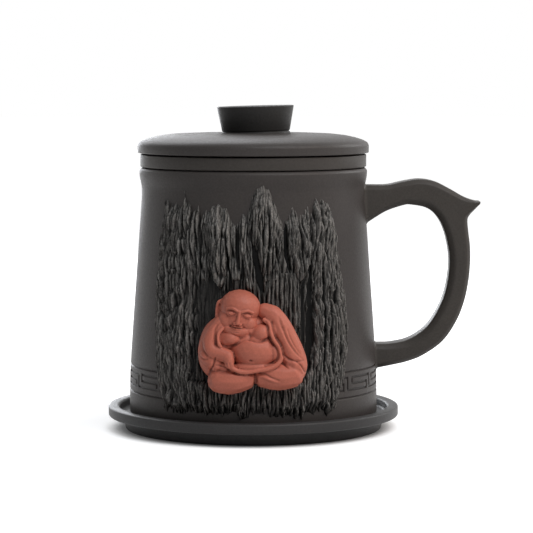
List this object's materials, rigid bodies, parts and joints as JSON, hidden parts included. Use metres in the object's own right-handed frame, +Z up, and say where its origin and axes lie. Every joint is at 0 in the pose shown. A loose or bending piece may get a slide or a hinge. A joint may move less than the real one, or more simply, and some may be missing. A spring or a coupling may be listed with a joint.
{
  "type": "lidded tea mug with infuser",
  "caption": "Dark unglazed clay tea mug with strap handle and thumb spur, hanging infuser, domed knobbed lid and saucer; cliff relief and seated red clay figure on the front.",
  "frame": {"origin": "centre of the saucer's foot ring, on the table", "axes": "+Z up along the mug's axis, +X along the handle, -Y out of the relief on the mug's front"},
  "size_m": [0.1459, 0.1173, 0.127],
  "materials": {
    "dark_clay_saucer": "unglazed, burnished matt",
    "dark_clay_mug": "unglazed, burnished matt",
    "dark_clay_handle": "unglazed, burnished matt",
    "carved_dark_clay": "unglazed, tooled rough",
    "red_clay": "unglazed, smooth matt",
    "dark_clay_infuser": "unglazed, burnished matt",
    "dark_clay_lid": "unglazed, burnished matt"
  },
  "bodies": {
    "saucer": {"saucer": "dark_clay_saucer"},
    "mug": {"mug_wall": "dark_clay_mug", "mug_floor": "dark_clay_mug", "mug_handle": "dark_clay_handle", "rock_relief": "carved_dark_clay", "seated_monk": "red_clay"},
    "infuser": {"infuser_collar": "dark_clay_infuser", "infuser_cup": "dark_clay_infuser", "infuser_strainer": "dark_clay_infuser"},
    "lid": {"lid_plate": "dark_clay_lid", "lid_flange": "dark_clay_lid", "lid_knob": "dark_clay_lid"}
  },
  "joints": [
    {"name": "mug_lift", "type": "slide", "parent": "saucer", "child": "mug", "axis": [0, 0, 1], "range_m": [0, 0.03]},
    {"name": "infuser_lift", "type": "slide", "parent": "mug", "child": "infuser", "axis": [0, 0, 1], "range_m": [0, 0.08]},
    {"name": "lid_lift", "type": "slide", "parent": "infuser", "child": "lid", "axis": [0, 0, 1], "range_m": [0, 0.04]}
  ]
}
